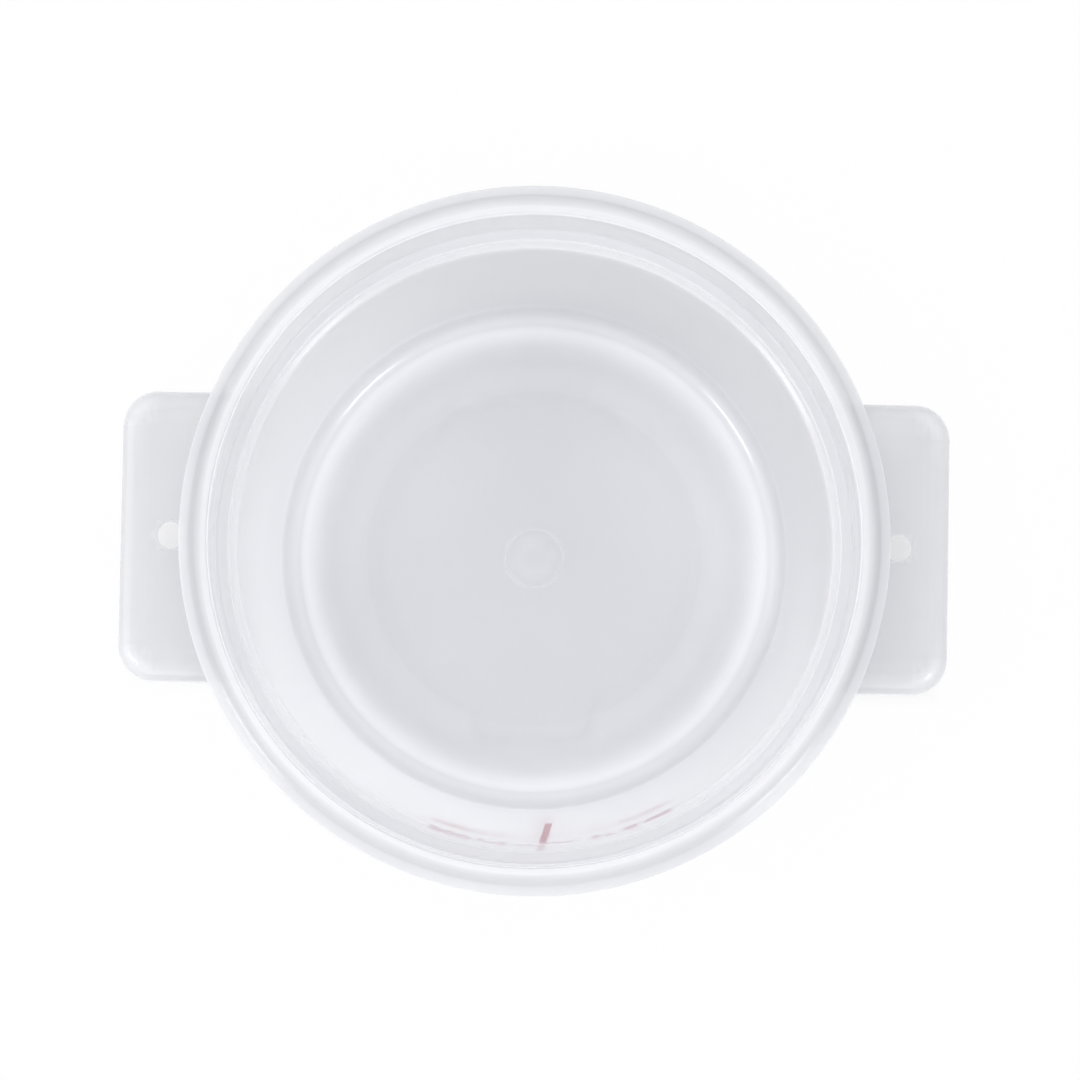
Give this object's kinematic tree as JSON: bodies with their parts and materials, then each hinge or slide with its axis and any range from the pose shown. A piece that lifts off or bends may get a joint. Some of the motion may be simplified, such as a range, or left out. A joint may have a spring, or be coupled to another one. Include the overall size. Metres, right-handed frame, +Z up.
{
  "type": "round dough proofing container",
  "caption": "Round translucent tub with tapered body, stepped ledge, rolled rim and a hollow wing handle on each side, for proofing dough and keeping food.",
  "frame": {"origin": "centre of the base, on the plane that the foot ring stands on", "axes": "+Z up through the open mouth; +X and -X out along the two wing handles; the printed scale is on the front wall, towards -Y"},
  "size_m": [0.182, 0.154, 0.079],
  "materials": {
    "natural_polypropylene": "milky translucent natural polypropylene, satin as moulded",
    "printed_ink": "thin film of red screen-printed ink"
  },
  "bodies": {
    "root": {"container": "natural_polypropylene", "scale_bar": "printed_ink", "half_litre_line": "printed_ink", "sixteen_ounce_line": "printed_ink"}
  },
  "joints": []
}
